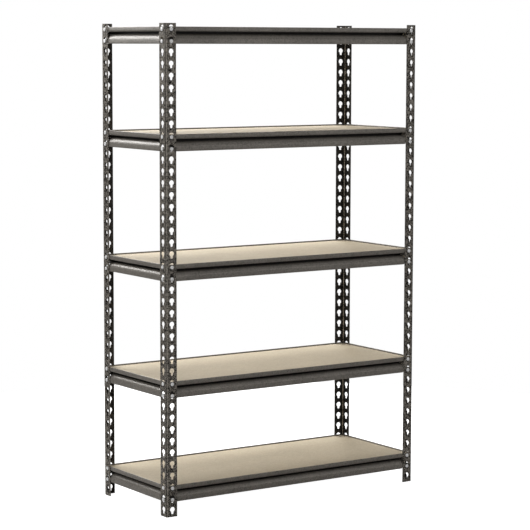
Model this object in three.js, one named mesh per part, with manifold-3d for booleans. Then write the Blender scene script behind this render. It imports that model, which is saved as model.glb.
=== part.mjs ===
// Boltless steel shelving: four corner posts of folded angle, each in two halves, five rectangular
// shelf frames that hook into keyholes in the posts with riveted studs, and five loose board decks.
// Millimetres, +Z up, front towards -Y. The origin is on the floor, midway between the four posts.
import * as THREE from 'three';
import { mergeVertices } from 'three/addons/utils/BufferGeometryUtils.js';
import Module from 'manifold-3d';

const wasm = await Module();
wasm.setup();

// Driving dimensions.
const PITCH = 38.1;                 // spacing of the keyholes up a post
const SLOTS_PER_HALF = 21;          // keyholes up one flange of one post half
const WIDTH = 1008;                 // outer corner to outer corner, left to right
const DEPTH = 411;                  // outer corner to outer corner, front to back
const GAP = 0.3;                    // clearance kept between pieces that touch

const FLANGE = 39;                  // width of each post flange
const POST_SHEET = 1.6;
const POST_BEND = 4.5;              // outer radius of the post's corner
const FIRST_SEAT = 19.5;            // end of a post half down to the first stud's seat

const HOLE_INSET = 21;              // keyhole centre line from the post's outer corner
const HOLE_RADIUS = 9;              // round upper part of the keyhole, which the stud head enters
const SLOT_TOP_HALF = 4.9;          // half width of the slot where the round part runs into it
const SLOT_END_HALF = 4.2;          // half width of the slot at its lower end
const SHOULDER_DROP = 5;            // round part's centre down to the top of the slot
const SLOT_DROP = 15;               // round part's centre down to the slot's lower end
const SEAT_DROP = 5.5;              // round part's centre down to the seated stud

const BEAM_SHEET = 1.2;
const BEAM_TOP = 8.4;               // top lip above the upper stud
const LIP_FOOT = -7.1;              // underside of the ledge, below the upper stud
const LEDGE_DEPTH = 25;             // how far the ledge reaches in under the board
const SHOULDER_RADIUS = 17;         // round shoulder from the foot of the groove to the lower band
const SHOULDER_STEPS = 6;
const LOWER_BAND_TOP = -32.6;       // where the shoulder meets the flat lower band
const LOWER_TAB_TOP = -33.6;        // top of the lower tab at each end, just below the shoulder
const BEAM_FOOT = -46.6;            // bottom edge, below the upper stud
const RETURN_DEPTH = 12;            // inward return along the bottom edge
const HEM_FOOT = -1.5;              // lower edge of the hem folded inside the top lip
const TAB_INSET = 8;                // end of a beam's tabs from the post's outer corner
const CORNER_CLEARANCE = 5.9;       // end of a cut back ledge to the back of the other beam
const LONG_SHOULDER_INSET = 40;     // cut back end of the shoulder, from the post's outer corner
const SHORT_SHOULDER_INSET = 35;

const NECK_RADIUS = 4.3;            // stud neck, clear of the keyhole when lifted out of the slot
const HEAD_RADIUS = 6.1;
const HEAD_THICKNESS = 3;
const STUD_SIDES = 8;

const BOARD_THICKNESS = 9.5;
const BOARD_CLEARANCE = 1.8;        // board edge to the hem of the beams around it
const BOARD_CORNER_CUT = 2;

// Keyhole row that carries the upper stud of each shelf, counted down from the top of the post.
const SHELF_ROWS = [39, 30, 20, 9, 0];

const halfPost = PITCH * SLOTS_PER_HALF;
const postHeight = 2 * halfPost;
const beamFace = POST_SHEET + GAP;  // outer face of a beam, in from the post's outer face

const postMaterial = new THREE.MeshStandardMaterial({ color: 0x5c5b58, roughness: 0.45, metalness: 0.3 });
const beamMaterial = new THREE.MeshStandardMaterial({ color: 0x686660, roughness: 0.4, metalness: 0.3 });
const boardMaterial = new THREE.MeshStandardMaterial({ color: 0xd2c3a6, roughness: 0.85, metalness: 0 });

// Turns a closed three.js geometry into a solid that can be cut and joined.
function toSolid(geometry) {
  const bare = geometry.clone();
  bare.deleteAttribute('normal');
  bare.deleteAttribute('uv');
  const merged = mergeVertices(bare, 1e-4);
  return new wasm.Manifold(new wasm.Mesh({
    numProp: 3,
    vertProperties: new Float32Array(merged.attributes.position.array),
    triVerts: new Uint32Array(merged.index.array),
  }));
}

function toGeometry(solid) {
  const mesh = solid.getMesh();
  const geometry = new THREE.BufferGeometry();
  geometry.setAttribute('position', new THREE.BufferAttribute(mesh.vertProperties, 3));
  geometry.setIndex(new THREE.BufferAttribute(mesh.triVerts, 1));
  geometry.computeVertexNormals();
  return geometry;
}

function boxBetween(low, high) {
  const size = high.map((value, axis) => value - low[axis]);
  const geometry = new THREE.BoxGeometry(...size);
  geometry.translate(...high.map((value, axis) => (value + low[axis]) / 2));
  return geometry;
}

// Angle section of a post: outer corner at the origin, one flange along +X and one along +Y.
function postSection() {
  const inner = POST_BEND - POST_SHEET;
  const shape = new THREE.Shape();
  shape.moveTo(POST_BEND, 0);
  shape.lineTo(FLANGE, 0);
  shape.lineTo(FLANGE, POST_SHEET);
  shape.lineTo(POST_BEND, POST_SHEET);
  shape.absarc(POST_BEND, POST_BEND, inner, -Math.PI / 2, -Math.PI, true);
  shape.lineTo(POST_SHEET, FLANGE);
  shape.lineTo(0, FLANGE);
  shape.lineTo(0, POST_BEND);
  shape.absarc(POST_BEND, POST_BEND, POST_BEND, Math.PI, 1.5 * Math.PI, false);
  return shape;
}

// Keyhole outline with the centre of its round part at the origin, narrow end down.
function keyholeOutline() {
  const chamfer = HOLE_RADIUS * Math.tan(Math.PI / 8);
  const right = [
    [chamfer, HOLE_RADIUS],
    [HOLE_RADIUS, 2.5],
    [SLOT_TOP_HALF, -SHOULDER_DROP],
    [SLOT_END_HALF, -SLOT_DROP],
  ];
  const left = right.map(([x, y]) => [-x, y]).reverse();
  return new THREE.Shape([...left, ...right].map(([x, y]) => new THREE.Vector2(x, y)));
}

// Cutter for one keyhole through the flange that lies along +X, with its seat at the given height.
function keyholeCutter(seat) {
  const reach = 2 * POST_SHEET;
  const geometry = new THREE.ExtrudeGeometry(keyholeOutline(), { depth: 2 * reach, bevelEnabled: false });
  geometry.rotateX(Math.PI / 2);
  geometry.translate(HOLE_INSET, reach, seat + SEAT_DROP);
  return geometry;
}

// One half of a post, standing on z = 0, with a row of keyholes up both flanges.
function postHalf() {
  const section = new THREE.ExtrudeGeometry(postSection(), {
    depth: halfPost - GAP / 2,
    bevelEnabled: false,
    curveSegments: 3,
  });
  let solid = toSolid(section);
  for (let row = 0; row < SLOTS_PER_HALF; row += 1) {
    const cutter = keyholeCutter(halfPost - FIRST_SEAT - row * PITCH);
    solid = solid.subtract(toSolid(cutter));
    cutter.rotateZ(Math.PI / 2);
    solid = solid.subtract(toSolid(cutter));
  }
  return toGeometry(solid);
}

// Outline of folded sheet: the given outer line, and the same line moved over by the sheet's thickness.
function sheetOutline(line, thickness) {
  const points = line.map(([x, y]) => new THREE.Vector2(x, y));
  const offset = points.map((point, index) => {
    const before = points[Math.max(index - 1, 0)];
    const after = points[Math.min(index + 1, points.length - 1)];
    const incoming = (index > 0 ? point.clone().sub(before) : after.clone().sub(point)).normalize();
    const outgoing = (index < points.length - 1 ? after.clone().sub(point) : incoming.clone()).normalize();
    const normal = new THREE.Vector2(-incoming.y - outgoing.y, incoming.x + outgoing.x).normalize();
    const stretch = thickness / (normal.x * -incoming.y + normal.y * incoming.x);
    return point.clone().add(normal.multiplyScalar(stretch));
  });
  return new THREE.Shape([...points, ...offset.reverse()].reverse());
}

// Extrudes an outline of (inward, up) points along a beam, from x = 0 to the given length.
function alongBeam(shape, length) {
  const geometry = new THREE.ExtrudeGeometry(shape, { depth: length, bevelEnabled: false });
  geometry.rotateX(Math.PI / 2);
  geometry.rotateZ(Math.PI / 2);
  return geometry;
}

// Riveted stud, rooted in the beam's sheet: a neck out through the post, and a head beyond it.
function stud() {
  const root = -BEAM_SHEET / 2;
  const neckEnd = GAP + POST_SHEET + GAP;
  const profile = [
    [0, root],
    [NECK_RADIUS, root],
    [NECK_RADIUS, neckEnd],
    [HEAD_RADIUS, neckEnd],
    [HEAD_RADIUS, neckEnd + HEAD_THICKNESS],
    [0, neckEnd + HEAD_THICKNESS],
  ].map(([x, y]) => new THREE.Vector2(x, y));
  const geometry = new THREE.LatheGeometry(profile, STUD_SIDES);
  geometry.rotateY(Math.PI / STUD_SIDES);
  geometry.rotateX(Math.PI);
  return geometry;
}

// Outer face of a beam's sheet as (inward, up): lip, ledge, groove, round shoulder, band and return.
function beamFaceLine() {
  const shoulder = [];
  for (let step = 0; step <= SHOULDER_STEPS; step += 1) {
    const angle = (Math.PI / 2) * (step / SHOULDER_STEPS);
    const inward = SHOULDER_RADIUS * (1 - Math.sin(angle));
    shoulder.push([inward, LOWER_BAND_TOP + SHOULDER_RADIUS * Math.cos(angle)]);
  }
  return [
    [0, BEAM_TOP],
    [0, LIP_FOOT],
    [LEDGE_DEPTH, LIP_FOOT],
    [LEDGE_DEPTH, LOWER_BAND_TOP + SHOULDER_RADIUS],
    ...shoulder,
    [0, BEAM_FOOT],
    [RETURN_DEPTH, BEAM_FOOT],
  ];
}

// Shelf beam: lies along +X, outer face on y = 0, board side towards +Y, upper stud's centre at z = 0.
// Two flat tabs carry the studs at each end. Each end says how far from the post's outer corner its
// ledge and its shoulder are cut back, so that the two beams clear each other in the corner.
function beam(length, leftEnd, rightEnd) {
  const section = sheetOutline(beamFaceLine(), BEAM_SHEET);
  const hem = 2 * BEAM_SHEET;
  const beyond = LEDGE_DEPTH + 10;
  const grooveFoot = LOWER_BAND_TOP + SHOULDER_RADIUS;
  let solid = toSolid(alongBeam(section, length));
  solid = solid.add(toSolid(boxBetween([0, BEAM_SHEET / 2, HEM_FOOT], [length, hem, BEAM_TOP])));
  const cut = (low, high) => {
    solid = solid.subtract(toSolid(boxBetween(low, high)));
  };
  const spans = [
    [leftEnd, (inset) => [-1, inset - TAB_INSET]],
    [rightEnd, (inset) => [length - inset + TAB_INSET, length + 1]],
  ];
  for (const [{ ledge, shoulder }, span] of spans) {
    if (shoulder > TAB_INSET) {
      const [start, end] = span(shoulder);
      cut([start, -1, LOWER_TAB_TOP], [end, beyond, grooveFoot]);
      cut([start, BEAM_SHEET, BEAM_FOOT - 1], [end, beyond, LOWER_TAB_TOP]);
    }
    if (ledge > TAB_INSET) {
      const [start, end] = span(ledge);
      cut([start, BEAM_SHEET, grooveFoot], [end, beyond, LIP_FOOT + 2 * BEAM_SHEET]);
    }
  }
  const studInset = HOLE_INSET - TAB_INSET;
  for (const along of [studInset, length - studInset]) {
    for (const height of [0, -PITCH]) {
      const rivet = stud();
      rivet.translate(along, 0, height);
      solid = solid.add(toSolid(rivet));
    }
  }
  return toGeometry(solid);
}

// Board deck, lying inside the four lips of its shelf with its underside on z = 0.
function board() {
  const inset = beamFace + 2 * BEAM_SHEET + BOARD_CLEARANCE;
  const x = WIDTH / 2 - inset;
  const y = DEPTH / 2 - inset;
  const cut = BOARD_CORNER_CUT;
  const corners = [
    [x, cut - y], [x, y - cut], [x - cut, y], [cut - x, y],
    [-x, y - cut], [-x, cut - y], [cut - x, -y], [x - cut, -y],
  ];
  return new THREE.ExtrudeGeometry(new THREE.Shape(corners.map(([a, b]) => new THREE.Vector2(a, b))), {
    depth: BOARD_THICKNESS,
    bevelEnabled: false,
  });
}

function place(name, geometry, material, position, turn) {
  const mesh = new THREE.Mesh(geometry, material);
  mesh.name = name;
  mesh.position.set(...position);
  mesh.rotation.z = turn;
  return mesh;
}

const quarter = Math.PI / 2;

function buildPosts() {
  const group = new THREE.Group();
  const geometry = postHalf();
  const corners = [
    ['front_left', -WIDTH / 2, -DEPTH / 2, 0],
    ['front_right', WIDTH / 2, -DEPTH / 2, quarter],
    ['rear_right', WIDTH / 2, DEPTH / 2, 2 * quarter],
    ['rear_left', -WIDTH / 2, DEPTH / 2, 3 * quarter],
  ];
  for (const [corner, x, y, turn] of corners) {
    group.add(place(`post_lower_${corner}`, geometry, postMaterial, [x, y, 0], turn));
    group.add(place(`post_upper_${corner}`, geometry, postMaterial, [x, y, halfPost + GAP / 2], turn));
  }
  return group;
}

// One shelf, with its upper studs' centres on the group's z = 0.
function buildShelf(level, longBeam, shortBeam, deck) {
  const group = new THREE.Group();
  const endX = WIDTH / 2 - TAB_INSET;
  const endY = DEPTH / 2 - TAB_INSET;
  const faceX = WIDTH / 2 - beamFace;
  const faceY = DEPTH / 2 - beamFace;
  const beams = [
    ['beam_front', longBeam, -endX, -faceY, 0],
    ['beam_right', shortBeam, faceX, -endY, quarter],
    ['beam_rear', longBeam, endX, faceY, 2 * quarter],
    ['beam_left', shortBeam, -faceX, endY, 3 * quarter],
  ];
  for (const [name, geometry, x, y, turn] of beams) {
    group.add(place(`${name}_${level}`, geometry, beamMaterial, [x, y, 0], turn));
  }
  const boardFoot = LIP_FOOT + BEAM_SHEET + GAP;
  group.add(place(`board_${level}`, deck, boardMaterial, [0, 0, boardFoot], 0));
  return group;
}

const shelving = new THREE.Group();
shelving.add(buildPosts());

// At every corner one of the two ledges runs on to the post and the other is cut back to clear it.
const clearLedge = beamFace + LEDGE_DEPTH + BEAM_SHEET + CORNER_CLEARANCE;
const longBeam = beam(
  WIDTH - 2 * TAB_INSET,
  { ledge: TAB_INSET, shoulder: TAB_INSET },
  { ledge: clearLedge, shoulder: LONG_SHOULDER_INSET },
);
const shortBeam = beam(
  DEPTH - 2 * TAB_INSET,
  { ledge: TAB_INSET, shoulder: SHORT_SHOULDER_INSET },
  { ledge: clearLedge, shoulder: SHORT_SHOULDER_INSET },
);
const deck = board();
SHELF_ROWS.forEach((row, index) => {
  const shelf = buildShelf(index + 1, longBeam, shortBeam, deck);
  shelf.position.z = postHeight - FIRST_SEAT - row * PITCH;
  shelving.add(shelf);
});

export default shelving;
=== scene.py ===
"""Looks for a boltless steel shelving unit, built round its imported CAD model.

Posts, beams, studs and boards are rebuilt as fine meshes in the places that the CAD nodes give.
Metres, +Z up, front towards -Y.
"""
import math

import bpy
from mathutils import Matrix, Vector


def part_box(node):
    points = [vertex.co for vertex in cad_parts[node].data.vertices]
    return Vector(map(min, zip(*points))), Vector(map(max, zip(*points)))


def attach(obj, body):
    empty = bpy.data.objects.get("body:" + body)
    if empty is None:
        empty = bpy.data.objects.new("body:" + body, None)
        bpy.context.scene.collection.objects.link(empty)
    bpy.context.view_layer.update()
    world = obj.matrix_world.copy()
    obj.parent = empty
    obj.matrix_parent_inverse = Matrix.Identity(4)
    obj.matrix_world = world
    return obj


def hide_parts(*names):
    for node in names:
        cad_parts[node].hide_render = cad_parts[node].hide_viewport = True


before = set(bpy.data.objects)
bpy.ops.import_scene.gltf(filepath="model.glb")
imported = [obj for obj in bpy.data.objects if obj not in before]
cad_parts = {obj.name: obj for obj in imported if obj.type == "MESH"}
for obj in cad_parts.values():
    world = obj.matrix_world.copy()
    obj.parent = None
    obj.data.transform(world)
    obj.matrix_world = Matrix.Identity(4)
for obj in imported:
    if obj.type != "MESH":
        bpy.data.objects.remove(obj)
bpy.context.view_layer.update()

MM = 0.001
SLACK = 0.001 * MM
QUARTER = math.pi / 2

# Posts
PITCH = 38.1 * MM
SLOTS_PER_HALF = 21
POST_SHEET = 1.6 * MM
POST_BEND = 4.5 * MM
FIRST_SEAT = 19.5 * MM
HOLE_INSET = 21 * MM
HOLE_RADIUS = 9 * MM
SLOT_TOP_HALF = 4.9 * MM
SLOT_END_HALF = 4.2 * MM
SLOT_END_BEND = 3.0 * MM
SHOULDER_DROP = 6.0 * MM
SHOULDER_ANGLE = math.radians(24)
SLOT_END_POWER = 0.7
SLOT_DROP = 15 * MM
SEAT_DROP = 5.5 * MM

# Beams
GAP = 0.3 * MM
BEAM_SHEET = 1.2 * MM
BEAM_TOP = 8.4 * MM
LIP_FOOT = -7.1 * MM
LIP_BEND = 4.5 * MM
LEDGE_DEPTH = 25 * MM
CREASE_HEIGHT = 4 * MM
CREASE_DEPTH = 4.5 * MM
SHOULDER_RADIUS = 17 * MM
LOWER_BAND_TOP = -32.6 * MM
GROOVE_FOOT = LOWER_BAND_TOP + SHOULDER_RADIUS
BEAM_FOOT = -46.6 * MM
RETURN_DEPTH = 12 * MM
HEM_FOOT = -1.5 * MM
HEM_GAP = 0.1 * MM
LEDGE_BEND = 1.0 * MM
CREASE_BEND = 1.4 * MM
CREASE_FALL = 0.8 * MM
CREASE_CORNER = 0.3 * MM
FOOT_BEND = 2.6 * MM
STATION_STEP = 120 * MM
GROOVE_SHADE_DEPTH = 5 * MM
TAB_INSET = 8 * MM
CUT_LEDGE_INSET = 34 * MM
LONG_SHOULDER_INSET = 40 * MM
SHORT_SHOULDER_INSET = 35 * MM
LONG_ENDS = ((TAB_INSET, TAB_INSET), (CUT_LEDGE_INSET, LONG_SHOULDER_INSET))
SHORT_ENDS = ((TAB_INSET, SHORT_SHOULDER_INSET), (CUT_LEDGE_INSET, SHORT_SHOULDER_INSET))

# Studs
NECK_RADIUS = 4.3 * MM
ROOT_DEPTH = 0.6 * MM
HEAD_RADIUS = 6.1 * MM
HEAD_THICKNESS = 3 * MM
HEAD_CROWN = 0.2 * MM
HEAD_LIFT = 0.1 * MM
HEAD_EDGE = 1.3 * MM
STUD_SIDES = 24

BOARD_EASE = 0.6 * MM
LEVELS = (1, 2, 3, 4, 5)
CORNERS = {"front_left": 0, "front_right": 1, "rear_right": 2, "rear_left": 3}
SIDES = {"front": 0, "right": 1, "rear": 2, "left": 3}


# ---------------------------------------------------------------- materials

def new_material(name):
    material = bpy.data.materials.new(name)
    material.use_nodes = True
    tree = material.node_tree
    shader = tree.nodes["Principled BSDF"]
    coordinates = tree.nodes.new("ShaderNodeTexCoord")
    return material, tree, shader, coordinates.outputs["Object"]


def noise(tree, vector, scale, detail=3.0, roughness=0.55, distortion=0.0):
    node = tree.nodes.new("ShaderNodeTexNoise")
    node.inputs["Scale"].default_value = scale
    node.inputs["Detail"].default_value = detail
    node.inputs["Roughness"].default_value = roughness
    node.inputs["Distortion"].default_value = distortion
    tree.links.new(vector, node.inputs["Vector"])
    return node.outputs["Fac"]


def voronoi(tree, vector, scale, feature="F1", output="Distance", randomness=1.0):
    node = tree.nodes.new("ShaderNodeTexVoronoi")
    node.feature = feature
    node.inputs["Scale"].default_value = scale
    node.inputs["Randomness"].default_value = randomness
    tree.links.new(vector, node.inputs["Vector"])
    return node.outputs[output]


def ramp(tree, value, stops):
    node = tree.nodes.new("ShaderNodeValToRGB")
    elements = node.color_ramp.elements
    while len(elements) < len(stops):
        elements.new(0.5)
    for element, (position, colour) in zip(elements, stops):
        element.position = position
        element.color = (*colour, 1.0)
    tree.links.new(value, node.inputs["Fac"])
    return node.outputs["Color"]


def grey(value):
    return (value, value, value)


def mix_colour(tree, factor, first, second, blend="MIX"):
    node = tree.nodes.new("ShaderNodeMix")
    node.data_type = "RGBA"
    node.blend_type = blend
    for socket, value in ((node.inputs["Factor"], factor), (node.inputs[6], first), (node.inputs[7], second)):
        if isinstance(value, bpy.types.NodeSocket):
            tree.links.new(value, socket)
        elif isinstance(value, tuple):
            socket.default_value = (*value, 1.0)
        else:
            socket.default_value = value
    return node.outputs[2]


def bump(tree, shader, height, strength, distance):
    node = tree.nodes.new("ShaderNodeBump")
    node.inputs["Strength"].default_value = strength
    node.inputs["Distance"].default_value = distance
    tree.links.new(height, node.inputs["Height"])
    tree.links.new(node.outputs["Normal"], shader.inputs["Normal"])


def warm(value):
    return (value * 1.10, value, value * 0.87)


def hammered_paint(name, tones, grain, bump_strength, specular):
    """Mottled dark paint: tones are its dark, middle and light values, grain the blotches in a metre."""
    material, tree, shader, place = new_material(name)
    blotch = noise(tree, place, grain, detail=3.0, roughness=0.62, distortion=0.8)
    cells = voronoi(tree, place, grain * 1.5, feature="DISTANCE_TO_EDGE")
    veins = ramp(tree, cells, [(0.0, grey(1.0)), (0.16, grey(0.45)), (0.45, grey(0.2))])
    pattern = mix_colour(tree, 0.3, blotch, veins)
    dark, middle, light = tones
    colour = ramp(tree, pattern, [(0.41, warm(dark)), (0.48, warm(middle)), (0.57, warm(light))])
    drift = noise(tree, place, 6, detail=2.0)
    shade = ramp(tree, drift, [(0.3, grey(0.9)), (0.7, grey(1.08))])
    colour = mix_colour(tree, 1.0, colour, shade, blend="MULTIPLY")
    tree.links.new(colour, shader.inputs["Base Color"])
    gloss = ramp(tree, pattern, [(0.3, grey(0.5)), (0.7, grey(0.33))])
    tree.links.new(gloss, shader.inputs["Roughness"])
    shader.inputs["Metallic"].default_value = 0.2
    shader.inputs["Specular IOR Level"].default_value = specular
    bump(tree, shader, pattern, bump_strength, 0.25 * MM)
    return material


def stud_zinc():
    material, tree, shader, place = new_material("stud_zinc")
    cloud = noise(tree, place, 350, detail=3.0)
    colour = ramp(tree, cloud, [(0.3, (0.93, 0.93, 0.93)), (0.7, (0.99, 0.99, 0.98))])
    tree.links.new(colour, shader.inputs["Base Color"])
    gloss = ramp(tree, cloud, [(0.3, grey(0.42)), (0.7, grey(0.28))])
    tree.links.new(gloss, shader.inputs["Roughness"])
    shader.inputs["Metallic"].default_value = 0.1
    shader.inputs["Specular IOR Level"].default_value = 0.9
    bump(tree, shader, cloud, 0.15, 0.1 * MM)
    return material


def particle_board():
    """Raw particle board: pale chips of mixed tone, darker specks and a faintly rough face."""
    material, tree, shader, place = new_material("particle_board")
    stretch = tree.nodes.new("ShaderNodeMapping")
    stretch.inputs["Scale"].default_value = (0.45, 1.0, 1.0)
    tree.links.new(place, stretch.inputs["Vector"])
    along = stretch.outputs["Vector"]
    chips = voronoi(tree, along, 330, output="Color")
    tone = ramp(tree, chips, [
        (0.0, (0.45, 0.365, 0.24)),
        (0.35, (0.54, 0.455, 0.32)),
        (0.7, (0.59, 0.51, 0.37)),
        (1.0, (0.66, 0.59, 0.46)),
    ])
    fine = noise(tree, along, 900, detail=3.0, roughness=0.7)
    colour = mix_colour(tree, 0.5, tone, (0.565, 0.48, 0.345))
    dust = ramp(tree, fine, [(0.35, grey(0.93)), (0.65, grey(1.05))])
    colour = mix_colour(tree, 1.0, colour, dust, blend="MULTIPLY")
    speck = voronoi(tree, place, 170)
    dark_specks = ramp(tree, speck, [(0.0, grey(0.62)), (0.13, grey(1.0))])
    colour = mix_colour(tree, 0.45, colour, mix_colour(tree, 1.0, colour, dark_specks, blend="MULTIPLY"))
    broad = noise(tree, place, 7, detail=3.0)
    patch = ramp(tree, broad, [(0.3, grey(0.95)), (0.7, grey(1.04))])
    colour = mix_colour(tree, 1.0, colour, patch, blend="MULTIPLY")
    tree.links.new(colour, shader.inputs["Base Color"])
    shader.inputs["Roughness"].default_value = 0.78
    bump(tree, shader, fine, 0.25, 0.15 * MM)
    return material


def floor_material():
    """Floor that looks white to the camera and sends a dimmer bounce to the part."""
    material, tree, shader, _ = new_material("studio_floor")
    shader.inputs["Base Color"].default_value = (0.35, 0.35, 0.35, 1.0)
    shader.inputs["Roughness"].default_value = 0.9
    glow = tree.nodes.new("ShaderNodeEmission")
    glow.inputs["Color"].default_value = (1.0, 1.0, 1.0, 1.0)
    glow.inputs["Strength"].default_value = 1.0
    bright = tree.nodes.new("ShaderNodeAddShader")
    tree.links.new(shader.outputs[0], bright.inputs[0])
    tree.links.new(glow.outputs[0], bright.inputs[1])
    rays = tree.nodes.new("ShaderNodeLightPath")
    choice = tree.nodes.new("ShaderNodeMixShader")
    tree.links.new(rays.outputs["Is Camera Ray"], choice.inputs[0])
    tree.links.new(shader.outputs[0], choice.inputs[1])
    tree.links.new(bright.outputs[0], choice.inputs[2])
    tree.links.new(choice.outputs[0], tree.nodes["Material Output"].inputs["Surface"])
    return material


# ---------------------------------------------------------------- mesh helpers

def make_object(name, vertices, faces, *materials, material_of=None, sharp_angle=35):
    """Linked mesh object; material_of gives each face's material number."""
    mesh = bpy.data.meshes.new(name)
    mesh.from_pydata([tuple(vertex) for vertex in vertices], [], faces)
    mesh.validate()
    mesh.polygons.foreach_set("use_smooth", [True] * len(mesh.polygons))
    mesh.set_sharp_from_angle(angle=math.radians(sharp_angle))
    for material in materials:
        mesh.materials.append(material)
    if material_of:
        mesh.polygons.foreach_set("material_index", material_of)
    piece = bpy.data.objects.new(name, mesh)
    bpy.context.scene.collection.objects.link(piece)
    return piece


def thickened(outer, inner, faces):
    """Vertices and faces of a closed sheet, from a face layer's outer and inner points."""
    count = len(outer)
    edges = {}
    for face in faces:
        for start, end in zip(face, face[1:] + face[:1]):
            edges[(start, end)] = True
    shell = [tuple(face) for face in faces]
    shell += [tuple(count + index for index in reversed(face)) for face in faces]
    for start, end in edges:
        if (end, start) not in edges:
            shell.append((end, start, count + start, count + end))
    return list(outer) + list(inner), shell


class FlatPattern:
    """A sheet laid flat: points are (s across the section, t along the part), welded by place."""

    def __init__(self):
        self.points = []
        self.index = {}
        self.faces = []
        self.outer_marks = []
        self.inner_marks = []

    def point(self, s, t):
        key = (round(s / (0.01 * MM)), round(t / (0.01 * MM)))
        if key not in self.index:
            self.index[key] = len(self.points)
            self.points.append((s, t))
        return self.index[key]

    def quad(self, corners, outer=0, inner=0):
        """Adds a face; outer and inner are the material numbers of its two sides."""
        face = [self.point(s, t) for s, t in corners]
        self.faces.append([index for position, index in enumerate(face) if index != face[position - 1]])
        self.outer_marks.append(outer)
        self.inner_marks.append(inner)

    def fold(self, place, thickness, turn, offset):
        """Closed solid of the folded sheet, turned about Z and moved by offset."""
        outer = [turn @ place(s, t, 0.0) + offset for s, t in self.points]
        inner = [turn @ place(s, t, thickness) + offset for s, t in self.points]
        return thickened(outer, inner, self.faces)

    def material_numbers(self, face_count):
        """Material numbers of the folded solid's faces, 0 at the rims."""
        return self.outer_marks + self.inner_marks + [0] * (face_count - 2 * len(self.faces))


# ---------------------------------------------------------------- posts

TOP_STEPS = 8
SIDE_STEPS = 12
BEND_STEPS = 6
# The second material number on a post is painted shade, on the flanges' inner faces and as a dark painted
# reflection line on the outer bend; the third is a painted highlight, a light line along both bends.
OUTSIDE, POST_PAINTED_SHADE, POST_PAINTED_HIGHLIGHT = range(3)     # material numbers on a post
# Across the bend's six columns: the outer bend gets a painted highlight stripe and then a dark painted
# reflection stripe; the inner bend gets a painted highlight stripe between painted shade.
BEND_OUTER = (POST_PAINTED_HIGHLIGHT, POST_PAINTED_HIGHLIGHT, POST_PAINTED_HIGHLIGHT, POST_PAINTED_SHADE, POST_PAINTED_SHADE, OUTSIDE)
BEND_INNER = (POST_PAINTED_SHADE, POST_PAINTED_HIGHLIGHT, POST_PAINTED_HIGHLIGHT, POST_PAINTED_HIGHLIGHT, POST_PAINTED_HIGHLIGHT, POST_PAINTED_SHADE)


def keyhole_half_width(drop):
    """Half width of the keyhole below the shoulder's start, at a drop below the round part's centre."""
    start_drop = HOLE_RADIUS * math.sin(SHOULDER_ANGLE)
    start_half = HOLE_RADIUS * math.cos(SHOULDER_ANGLE)
    if drop < SHOULDER_DROP:
        share = (drop - start_drop) / (SHOULDER_DROP - start_drop)
        ease = share * share * (3 - 2 * share)
        return start_half + (SLOT_TOP_HALF - start_half) * ease
    share = (drop - SHOULDER_DROP) / (SLOT_DROP - SLOT_END_BEND - SHOULDER_DROP)
    return SLOT_TOP_HALF + (SLOT_END_HALF - SLOT_TOP_HALF) * share


def keyhole_side():
    """Right side of the keyhole from 45 degrees on the round part down to the slot's end arc."""
    points = []
    arc_steps = 4
    for step in range(arc_steps + 1):
        angle = QUARTER / 2 - (QUARTER / 2 + SHOULDER_ANGLE) * step / arc_steps
        points.append((HOLE_RADIUS * math.cos(angle), HOLE_RADIUS * math.sin(angle)))
    start = -points[-1][1]
    shoulder_steps = 5
    for step in range(1, shoulder_steps + 1):
        drop = start + (SHOULDER_DROP - start) * step / shoulder_steps
        points.append((keyhole_half_width(drop), -drop))
    slot_steps = SIDE_STEPS - arc_steps - shoulder_steps
    end = SLOT_DROP - SLOT_END_BEND
    for step in range(1, slot_steps + 1):
        drop = SHOULDER_DROP + (end - SHOULDER_DROP) * step / slot_steps
        points.append((keyhole_half_width(drop), -drop))
    return points


def keyhole_loop():
    """Clockwise outline from the upper left, in runs that match a cell's top, right, foot and left."""
    top = []
    for step in range(TOP_STEPS):
        angle = math.radians(135 - 90 * step / TOP_STEPS)
        top.append((HOLE_RADIUS * math.cos(angle), HOLE_RADIUS * math.sin(angle)))
    right = keyhole_side()
    foot = []
    for step in range(1, TOP_STEPS):
        angle = math.pi * step / TOP_STEPS
        across = math.copysign(abs(math.cos(angle)) ** SLOT_END_POWER, math.cos(angle))
        rise = 1 - math.sin(angle) ** SLOT_END_POWER
        foot.append((SLOT_END_HALF * across, SLOT_END_BEND * rise - SLOT_DROP))
    left = [(-x, z) for x, z in reversed(right)][:-1]
    return top + right + foot + left


def cell_loop(low_s, high_s, low_t, high_t):
    """Clockwise points round a rectangular cell, in the same runs as keyhole_loop."""
    across = [low_s + (high_s - low_s) * step / TOP_STEPS for step in range(TOP_STEPS + 1)]
    down = [high_t + (low_t - high_t) * step / SIDE_STEPS for step in range(SIDE_STEPS + 1)]
    loop = [(s, high_t) for s in across[:-1]]
    loop += [(high_s, t) for t in down[:-1]]
    loop += [(s, low_t) for s in reversed(across[1:])]
    loop += [(low_s, t) for t in reversed(down[1:])]
    return loop


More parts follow.
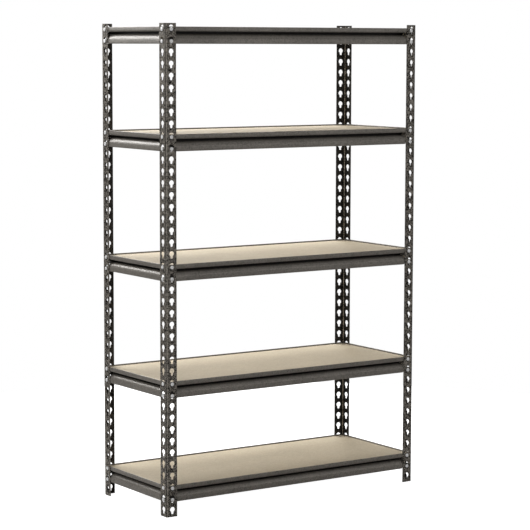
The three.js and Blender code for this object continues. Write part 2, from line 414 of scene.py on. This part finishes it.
def post_pattern(flange, length):
    """Flat pattern of a post half: two flanges of keyhole cells joined by a bend."""
    pattern = FlatPattern()
    flat = flange - POST_BEND
    arc = POST_BEND * QUARTER
    hole = keyhole_loop()
    for row in range(SLOTS_PER_HALF):
        high = length - row * PITCH
        low = max(high - PITCH, 0.0)
        centre_t = high - FIRST_SEAT + SEAT_DROP
        for start, end, centre_s in (
            (0.0, flat, flange - HOLE_INSET),
            (flat + arc, 2 * flat + arc, flat + arc + HOLE_INSET - POST_BEND),
        ):
            cell = cell_loop(start, end, low, high)
            rim = [(centre_s + x, centre_t + z) for x, z in hole]
            for index in range(len(cell)):
                following = (index + 1) % len(cell)
                # The flanges' inner faces take the painted shade paint.
                pattern.quad([cell[index], rim[index], rim[following], cell[following]], inner=POST_PAINTED_SHADE)
        levels = [high + (low - high) * step / SIDE_STEPS for step in range(SIDE_STEPS + 1)]
        # The bend's columns take the painted highlight and painted shade stripes.
        for column in range(BEND_STEPS):
            left = flat + arc * column / BEND_STEPS
            right = flat + arc * (column + 1) / BEND_STEPS
            for upper, lower in zip(levels, levels[1:]):
                corners = [(left, upper), (left, lower), (right, lower), (right, upper)]
                pattern.quad(corners, BEND_OUTER[column], BEND_INNER[column])
    return pattern


def post_place(flange):
    """Maps the flat pattern onto the angle section, its outer corner on the Z axis."""
    flat = flange - POST_BEND
    arc = POST_BEND * QUARTER

    def place(s, t, depth):
        if s <= flat:
            return Vector((flange - s, depth, t))
        if s >= flat + arc:
            return Vector((depth, POST_BEND + s - flat - arc, t))
        angle = (s - flat) / POST_BEND
        reach = POST_BEND - depth
        return Vector((POST_BEND - reach * math.sin(angle), POST_BEND - reach * math.cos(angle), t))

    return place


def post_corner(low, high, quarter_turns):
    """Outer corner of a post from its CAD box."""
    x = low.x if quarter_turns in (0, 3) else high.x
    y = low.y if quarter_turns in (0, 1) else high.y
    return Vector((x, y, low.z))


def build_posts(outside, inside, highlight_paint):
    for half in ("lower", "upper"):
        for corner, turns in CORNERS.items():
            node = f"post_{half}_{corner}"
            low, high = (Vector(point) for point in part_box(node))
            flange = high.x - low.x
            pattern = post_pattern(flange, high.z - low.z)
            turn = Matrix.Rotation(turns * QUARTER, 3, "Z")
            offset = post_corner(low, high, turns)
            vertices, faces = pattern.fold(post_place(flange), POST_SHEET, turn, offset)
            material_of = pattern.material_numbers(len(faces))
            # The second paint is the painted shade, the third the painted highlight along the bends.
            paints = (outside, inside, highlight_paint)
            piece = make_object(f"{node}_skin", vertices, faces, *paints, material_of=material_of)
            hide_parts(node)
            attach(piece, "posts")


# ---------------------------------------------------------------- beams

# The second material number on a beam is a near-black painted shade, laid in the groove's recess and on the
# upper rows that the posts cover.
FACE, BEAM_PAINTED_SHADE = range(2)              # material numbers on a beam


def rounded_path(corners, degrees_per_step=12):
    """Samples a polyline whose inner corners are rounded: a list of (point, left normal)."""
    points = [Vector((x, y)) for x, y, _ in corners]
    radii = [radius for _, _, radius in corners]
    samples = []
    for index, point in enumerate(points):
        incoming = (point - points[index - 1]).normalized() if index > 0 else None
        outgoing = (points[index + 1] - point).normalized() if index < len(points) - 1 else None
        if incoming is None or outgoing is None:
            direction = outgoing or incoming
            samples.append((point, Vector((-direction.y, direction.x))))
            continue
        turn = incoming.angle_signed(outgoing)
        setback = radii[index] * math.tan(abs(turn) / 2)
        side = 1 if turn < 0 else -1
        normal = Vector((-incoming.y, incoming.x))
        centre = point - incoming * setback + normal * side * radii[index]
        steps = max(2, round(math.degrees(abs(turn)) / degrees_per_step))
        for step in range(steps + 1):
            spin = Matrix.Rotation(-turn * step / steps, 2)
            direction = spin @ normal
            samples.append((centre - direction * side * radii[index], direction))
    return samples


def beam_section():
    """Outer face line of a beam's section as (inward, up), from the hem inside the lip to the foot."""
    hem = 2 * BEAM_SHEET + HEM_GAP
    hem_bend = hem / 2 - SLACK
    crease_top = GROOVE_FOOT + CREASE_HEIGHT
    crease_back = LEDGE_DEPTH + CREASE_DEPTH
    return rounded_path([
        (hem, HEM_FOOT, 0),
        (hem, BEAM_TOP, hem_bend),
        (0, BEAM_TOP, hem_bend),
        (0, LIP_FOOT, LIP_BEND),
        (LEDGE_DEPTH, LIP_FOOT, LEDGE_BEND),
        (LEDGE_DEPTH, crease_top, CREASE_BEND),
        (crease_back, crease_top - CREASE_FALL, CREASE_CORNER),
        (crease_back, GROOVE_FOOT, CREASE_CORNER),
        (0, GROOVE_FOOT, SHOULDER_RADIUS - SLACK),
        (0, BEAM_FOOT, FOOT_BEND),
        (RETURN_DEPTH, BEAM_FOOT, 0),
    ])


def row_inset(start, end, ledge_inset, shoulder_inset):
    """How far from the post's corner the strip of sheet between two section points stops."""
    flat_face = max(start.x, end.x) < 10 * SLACK
    if min(start.y, end.y) > LIP_FOOT + BEAM_SHEET or (flat_face and start.y <= LOWER_BAND_TOP + 10 * SLACK):
        return TAB_INSET
    if min(start.y, end.y) > GROOVE_FOOT - 10 * SLACK:
        return ledge_inset
    return shoulder_inset


def beam_pattern(section, length, ends):
    """Flat pattern of a beam: t runs along it, s is the section sample's number."""
    pattern = FlatPattern()
    left, right = (sorted({TAB_INSET, LONG_SHOULDER_INSET, *insets}) for insets in ends)
    stations = [inset - TAB_INSET for inset in left]
    last = length + TAB_INSET - right[-1]
    spans = max(1, round((last - stations[-1]) / STATION_STEP))
    stations += [stations[-1] + (last - stations[-1]) * step / spans for step in range(1, spans)]
    stations += [length + TAB_INSET - inset for inset in reversed(right)]
    cover = LONG_SHOULDER_INSET - TAB_INSET
    for row, ((start, _), (end, _)) in enumerate(zip(section, section[1:])):
        first = row_inset(start, end, *ends[0]) - TAB_INSET - SLACK
        final = length + TAB_INSET - row_inset(start, end, *ends[1]) + SLACK
        below_lip = end.y <= LIP_FOOT + SLACK
        deep = min(start.x, end.x) > GROOVE_SHADE_DEPTH
        in_groove = deep and below_lip and end.y >= GROOVE_FOOT - SLACK
        above_band = below_lip and end.y >= LOWER_BAND_TOP - SLACK
        for low_t, high_t in zip(stations, stations[1:]):
            covered = high_t <= cover + SLACK or low_t >= length - cover - SLACK
            if low_t >= first and high_t <= final:
                near, far = row * MM, (row + 1) * MM
                corners = [(near, low_t), (far, low_t), (far, high_t), (near, high_t)]
                # Faces deep in the groove, and upper rows hidden behind a post, get painted shade.
                shaded = in_groove or (covered and above_band)
                pattern.quad(corners, outer=BEAM_PAINTED_SHADE if shaded else FACE)
    return pattern


def beam_place(section):
    def place(s, t, depth):
        point, normal = section[round(s / MM)]
        at = point + normal * depth
        return Vector((t, at.x, at.y))

    return place


def stud_profile():
    """Half profile of a stud as (radius, out from the beam's face), from its buried root outwards."""
    neck_end = GAP + POST_SHEET + HEAD_LIFT
    face = neck_end + HEAD_THICKNESS + HEAD_CROWN
    profile = [(0.0, -ROOT_DEPTH), (NECK_RADIUS, -ROOT_DEPTH), (NECK_RADIUS, neck_end)]
    profile.append((HEAD_RADIUS - 0.3 * MM, neck_end))
    steps = 6
    for step in range(steps + 1):
        angle = QUARTER * step / steps
        radius = HEAD_RADIUS - HEAD_EDGE + HEAD_EDGE * math.cos(angle)
        profile.append((radius, neck_end + 1.4 * MM + (face - neck_end - 1.9 * MM) * math.sin(angle)))
    profile += [
        (3.2 * MM, face - 0.28 * MM),
        (1.7 * MM, face - 0.14 * MM),
        (1.25 * MM, face - 0.3 * MM),
        (0.7 * MM, face - 0.75 * MM),
        (0.0, face - 0.85 * MM),
    ]
    return profile


def lathe(profile, sides, place):
    """Closed solid of revolution: place turns (radius, height, angle) into a point."""
    vertices = []
    rings = []
    for radius, height in profile:
        count = 1 if radius == 0.0 else sides
        rings.append([len(vertices) + step for step in range(count)])
        vertices += [place(radius, height, 2 * math.pi * step / sides) for step in range(count)]
    faces = []
    for lower, upper in zip(rings, rings[1:]):
        for step in range(sides):
            following = (step + 1) % sides
            face = [
                lower[step % len(lower)], lower[following % len(lower)],
                upper[following % len(upper)], upper[step % len(upper)],
            ]
            faces.append(tuple(dict.fromkeys(face)))
    return vertices, faces


def build_studs(node, length, turn, offset, material, body):
    """The four studs of one beam: necks through the post, heads outside."""
    vertices = []
    faces = []
    inset = HOLE_INSET - TAB_INSET
    for along in (inset, length - inset):
        for height in (0.0, -PITCH):
            def place(radius, out, angle, along=along, height=height):
                local = Vector((along + radius * math.cos(angle), -out, height + radius * math.sin(angle)))
                return turn @ local + offset

            points, quads = lathe(stud_profile(), STUD_SIDES, place)
            faces += [tuple(len(vertices) + index for index in quad) for quad in quads]
            vertices += points
    piece = make_object(f"{node}_studs", vertices, faces, material, sharp_angle=40)
    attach(piece, body)


def build_beams(level, paint, beam_painted_shade, zinc):
    section = beam_section()
    for side, turns in SIDES.items():
        node = f"beam_{side}_{level}"
        low, high = (Vector(point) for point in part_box(node))
        centre = (low + high) / 2
        along_x = turns % 2 == 0
        length = (high.x - low.x) if along_x else (high.y - low.y)
        turn = Matrix.Rotation(turns * QUARTER, 3, "Z")
        head_reach = GAP + POST_SHEET + GAP + HEAD_THICKNESS
        local_low = Vector((-length / 2, 0, 0))
        face = {
            "front": low.y + head_reach,
            "rear": high.y - head_reach,
            "left": low.x + head_reach,
            "right": high.x - head_reach,
        }[side]
        offset = turn @ local_low
        if along_x:
            offset += Vector((centre.x, face, 0))
        else:
            offset += Vector((face, centre.y, 0))
        offset.z = high.z - BEAM_TOP
        pattern = beam_pattern(section, length, LONG_ENDS if along_x else SHORT_ENDS)
        vertices, faces = pattern.fold(beam_place(section), BEAM_SHEET, turn, offset)
        material_of = pattern.material_numbers(len(faces))
        piece = make_object(f"{node}_skin", vertices, faces, paint, beam_painted_shade, material_of=material_of)
        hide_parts(node)
        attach(piece, f"shelf_{level}")
        build_studs(node, length, turn, offset, zinc, f"shelf_{level}")


# ---------------------------------------------------------------- boards

def build_board(level, material):
    node = f"board_{level}"
    low, high = (Vector(point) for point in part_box(node))
    eased = BOARD_EASE
    vertices = []
    for inset, z in ((eased, low.z), (0, low.z + eased), (0, high.z - eased), (eased, high.z)):
        for x, y in ((low.x + inset, low.y + inset), (high.x - inset, low.y + inset),
                     (high.x - inset, high.y - inset), (low.x + inset, high.y - inset)):
            vertices.append(Vector((x, y, z)))
    faces = [(3, 2, 1, 0), (12, 13, 14, 15)]
    for ring in (0, 4, 8):
        for side in range(4):
            following = (side + 1) % 4
            faces.append((ring + side, ring + following, ring + 4 + following, ring + 4 + side))
    piece = make_object(f"{node}_skin", vertices, faces, material)
    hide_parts(node)
    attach(piece, f"deck_{level}")


# ---------------------------------------------------------------- scene

def build_camera():
    """Camera from the front left, about level with the top shelf and looking slightly down."""
    data = bpy.data.cameras.new("camera")
    data.sensor_width = 36.0
    data.lens = 136.41
    data.clip_end = 100.0
    camera = bpy.data.objects.new("camera", data)
    bpy.context.scene.collection.objects.link(camera)
    heading = math.radians(33.977)
    tilt = math.radians(-6.278)
    roll = math.radians(0.13)
    camera.location = (-3.8235, -5.6988, 1.5339)
    aim = Matrix.Rotation(-heading, 4, "Z") @ Matrix.Rotation(QUARTER + tilt, 4, "X")
    camera.rotation_euler = (aim @ Matrix.Rotation(roll, 4, "Z")).to_euler()
    bpy.context.scene.camera = camera


def area_light(name, location, target, size, power, spread=180):
    data = bpy.data.lights.new(name, "AREA")
    data.shape = "RECTANGLE"
    data.size, data.size_y = size
    data.energy = power
    data.spread = math.radians(spread)
    light = bpy.data.objects.new(name, data)
    light.location = location
    light.rotation_euler = (Vector(target) - Vector(location)).to_track_quat("-Z", "Y").to_euler()
    bpy.context.scene.collection.objects.link(light)


def build_world():
    """White to the eye; it lights the part more dimly, brightest overhead."""
    world = bpy.data.worlds.new("studio")
    world.use_nodes = True
    tree = world.node_tree
    lighting = tree.nodes["Background"]
    coordinates = tree.nodes.new("ShaderNodeTexCoord")
    split = tree.nodes.new("ShaderNodeSeparateXYZ")
    tree.links.new(coordinates.outputs["Generated"], split.inputs[0])
    sky = ramp(tree, split.outputs["Z"], [(0.0, grey(0.20)), (0.4, grey(0.27)), (1.0, grey(0.5))])
    tree.links.new(sky, lighting.inputs["Color"])
    lighting.inputs["Strength"].default_value = 1.0
    backdrop = tree.nodes.new("ShaderNodeBackground")
    backdrop.inputs["Color"].default_value = (1.0, 1.0, 1.0, 1.0)
    rays = tree.nodes.new("ShaderNodeLightPath")
    choice = tree.nodes.new("ShaderNodeMixShader")
    tree.links.new(rays.outputs["Is Camera Ray"], choice.inputs[0])
    tree.links.new(lighting.outputs[0], choice.inputs[1])
    tree.links.new(backdrop.outputs[0], choice.inputs[2])
    tree.links.new(choice.outputs[0], tree.nodes["World Output"].inputs["Surface"])
    bpy.context.scene.world = world


def build_floor():
    """A round pale floor, small enough to be lit evenly."""
    radius = 2.2
    sides = 96
    vertices = [
        (radius * math.cos(2 * math.pi * step / sides), radius * math.sin(2 * math.pi * step / sides), 0.0)
        for step in range(sides)
    ]
    floor = make_object("studio_floor", vertices, [tuple(range(sides))], floor_material())


def build_studio():
    build_world()
    build_floor()
    area_light("overhead", (0.0, 1.0, 4.4), (0, 0.1, 0.6), (2.0, 2.5), 110)
    area_light("back", (0.5, 3.6, 2.9), (0, 0, 0.8), (4.0, 1.8), 150)
    area_light("back_left", (-1.6, 2.4, 2.55), (-0.5, 0, 1.9), (1.6, 1.6), 10.5, spread=75)
    area_light("left", (-4.6, -0.6, 0.9), (0, 0, 0.9), (3.0, 1.6), 42)
    area_light("front", (1.5, -4.8, 1.7), (0, 0, 1.2), (5.0, 1.6), 30)
    bpy.context.scene.view_settings.view_transform = "Standard"


build_camera()
build_studio()
post_paint = hammered_paint("post_paint", (0.001, 0.013, 0.27), 125, 0.5, 0.06)
# A lighter copy of the post paint, used as a painted highlight along the bends.
post_painted_highlight = hammered_paint("post_painted_highlight", (0.05, 0.17, 0.45), 125, 0.5, 0.1)
# A darker copy of the post paint, used as painted shade on the inner faces and as a dark painted reflection
# line on the outer bend.
post_painted_shade = hammered_paint("post_painted_shade", (0.002, 0.012, 0.05), 130, 0.4, 0.15)
beam_paint = hammered_paint("beam_paint", (0.12, 0.16, 0.21), 160, 0.15, 0.5)
# A near-black copy of the beam paint, used as painted shade in the groove and on the beam ends behind the
# posts.
beam_painted_shade = hammered_paint("beam_painted_shade", (0.010, 0.015, 0.020), 160, 0.15, 0.12)
zinc = stud_zinc()
board = particle_board()
build_posts(post_paint, post_painted_shade, post_painted_highlight)
for level in LEVELS:
    build_beams(level, beam_paint, beam_painted_shade, zinc)
    build_board(level, board)
